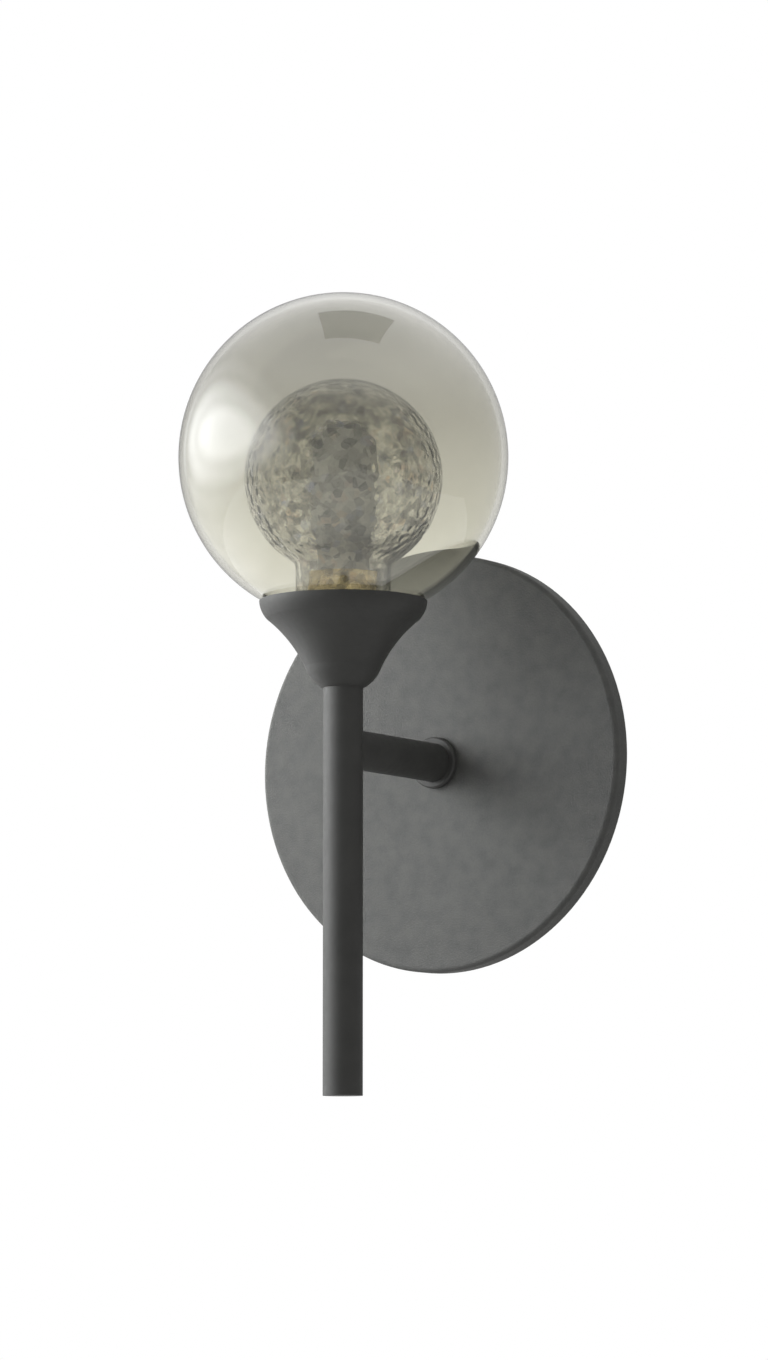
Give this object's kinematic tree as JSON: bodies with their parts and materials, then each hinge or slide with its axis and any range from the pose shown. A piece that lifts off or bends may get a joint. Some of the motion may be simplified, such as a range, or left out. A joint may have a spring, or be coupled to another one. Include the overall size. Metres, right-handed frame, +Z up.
{
  "type": "globe wall sconce",
  "caption": "Wall sconce: round textured plate, short arm and upright stem with a flared cup holding a smoked glass globe around a smaller textured glass globe and a capsule lamp.",
  "frame": {"origin": "centre of the plate's back, on the wall plane, midway between the bracket's two wall-screw slots", "axes": "+Z up along the stem, +Y into the wall, so the stem and globes stand out along -Y; +X to the right seen from the room"},
  "size_m": [0.13, 0.119, 0.2427],
  "materials": {
    "smoked_glass": "thin smoked grey glass, fire polished",
    "textured_glass": "clear glass, finely crackled and bubbled",
    "lamp_glass": "opal white, satin frosted",
    "textured_coat": "fine textured powder coat, charcoal",
    "satin_coat": "satin powder coat, charcoal",
    "zinc_steel": "zinc plated",
    "screw_steel": "zinc plated, bright",
    "brass": "turned, unlacquered",
    "steatite": "unglazed white steatite",
    "contact_steel": "nickel plated spring strip",
    "silicone": "translucent grey silicone",
    "lamp_ceramic": "white, smooth",
    "lamp_board_white": "white board with yellow phosphor strips",
    "bush_plastic": "moulded nylon",
    "block_plastic": "moulded polyamide, ivory",
    "brown_sleeve": "lead insulation, brown",
    "blue_sleeve": "lead insulation, blue",
    "earth_sleeve": "lead insulation, green and yellow"
  },
  "bodies": {
    "fixture": {"wall_bracket": "zinc_steel", "wall_plate": "textured_coat", "plate_screws": "screw_steel", "arm_collar": "satin_coat", "arm_tube": "satin_coat", "arm_nipple": "zinc_steel", "arm_washer": "zinc_steel", "arm_nut": "zinc_steel", "arm_bush": "bush_plastic", "stem_tube": "satin_coat", "stem_plug": "satin_coat", "stem_insert": "zinc_steel", "cup": "satin_coat", "cup_nipple": "zinc_steel", "cup_washer": "zinc_steel", "cup_nut": "zinc_steel", "holder_yoke": "zinc_steel", "holder_sleeve": "brass", "holder_body": "steatite", "holder_contacts": "contact_steel", "holder_screws": "screw_steel", "terminal_block": "block_plastic", "terminal_barrels": "brass", "terminal_screws": "screw_steel", "block_screws": "screw_steel", "earth_tag": "contact_steel", "earth_screw": "screw_steel", "live_lead": "brown_sleeve", "neutral_lead": "blue_sleeve", "earth_lead": "earth_sleeve"},
    "seat": {"seat_gasket": "silicone"},
    "globe": {"outer_globe": "smoked_glass", "inner_globe": "textured_glass", "neck_collar": "brass"},
    "lamp": {"lamp_base": "lamp_ceramic", "lamp_pins": "contact_steel", "lamp_dome": "lamp_glass", "lamp_board": "lamp_board_white"}
  },
  "joints": [
    {"name": "globe_lift", "type": "slide", "parent": "fixture", "child": "seat", "axis": [0, 0, 1], "range_m": [0, 0.075]},
    {"name": "globe_turn", "type": "hinge", "parent": "seat", "child": "globe", "pos_m": [0, -0.058, 0.0412], "axis": [0, 0, 1], "range_deg": [0, 720]},
    {"name": "lamp_pull", "type": "slide", "parent": "fixture", "child": "lamp", "axis": [0, 0, 1], "range_m": [0, 0.01]}
  ]
}
